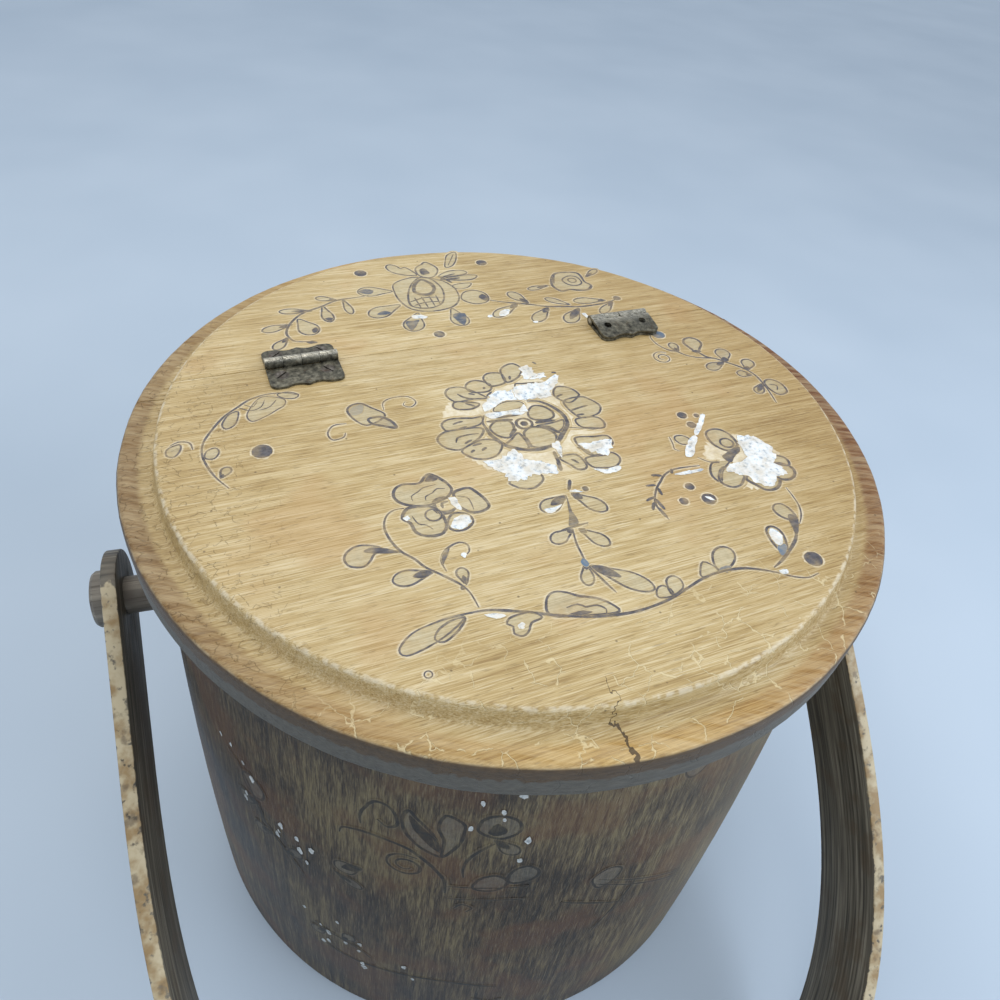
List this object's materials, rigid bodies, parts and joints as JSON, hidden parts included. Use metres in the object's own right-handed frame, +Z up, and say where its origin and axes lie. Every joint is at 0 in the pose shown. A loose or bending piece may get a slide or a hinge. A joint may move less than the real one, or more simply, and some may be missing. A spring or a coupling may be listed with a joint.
{
  "type": "sugar bucket",
  "caption": "Round staved wooden sugar bucket with a flat hinged lid, a fixed rear lid board, side pegs and a bentwood bail handle.",
  "frame": {"origin": "centre of the bucket's round base, on the table", "axes": "+Z up; X along the lid hinge, +Y towards the back, where the fixed part of the lid is"},
  "size_m": [0.357, 0.4112, 0.284],
  "materials": {
    "wall_paint": "brushed brown glaze over wood, worn",
    "lid_paint": "honey glaze over wood with a painted floral scroll, worn at the edges",
    "raw_wood": "bare wood",
    "grey_wood": "weathered grey-brown wood",
    "bail_wood": "weathered bentwood, grey wash, cream edges",
    "hinge_bronze": "dark antique bronze plate, worn bright on the barrel",
    "screw_steel": "tarnished steel"
  },
  "bodies": {
    "bucket": {"stave_1": "wall_paint", "stave_2": "wall_paint", "stave_3": "wall_paint", "stave_4": "wall_paint", "stave_5": "wall_paint", "stave_6": "wall_paint", "stave_7": "wall_paint", "stave_8": "wall_paint", "stave_9": "wall_paint", "stave_10": "wall_paint", "stave_11": "wall_paint", "stave_12": "wall_paint", "stave_13": "wall_paint", "stave_14": "wall_paint", "stave_15": "wall_paint", "stave_16": "wall_paint", "bottom_board": "raw_wood", "back_board": "lid_paint", "back_board_dowels": "raw_wood", "left_peg": "grey_wood", "right_peg": "grey_wood", "left_rear_leaf": "hinge_bronze", "left_rear_screws": "screw_steel"},
    "lid_flap": {"flap_board": "lid_paint", "left_front_leaf": "hinge_bronze", "left_front_screws": "screw_steel", "left_hinge_pin": "screw_steel", "right_front_leaf": "hinge_bronze", "right_front_screws": "screw_steel", "right_hinge_pin": "screw_steel"},
    "loose_leaf": {"loose_leaf": "hinge_bronze"},
    "bail": {"bail": "bail_wood"}
  },
  "joints": [
    {"name": "lid_hinge", "type": "hinge", "parent": "bucket", "child": "lid_flap", "pos_m": [0, 0.052, 0.2816], "axis": [-1, 0, 0], "range_deg": [0, 105]},
    {"name": "loose_leaf_hinge", "type": "hinge", "parent": "lid_flap", "child": "loose_leaf", "pos_m": [0.076, 0.052, 0.2816], "axis": [-1, 0, 0], "range_deg": [0, 65]},
    {"name": "bail_pivot", "type": "hinge", "parent": "bucket", "child": "bail", "pos_m": [0, 0, 0.199], "axis": [-0.9945, 0.1045, 0], "range_deg": [0, 254.2]}
  ]
}
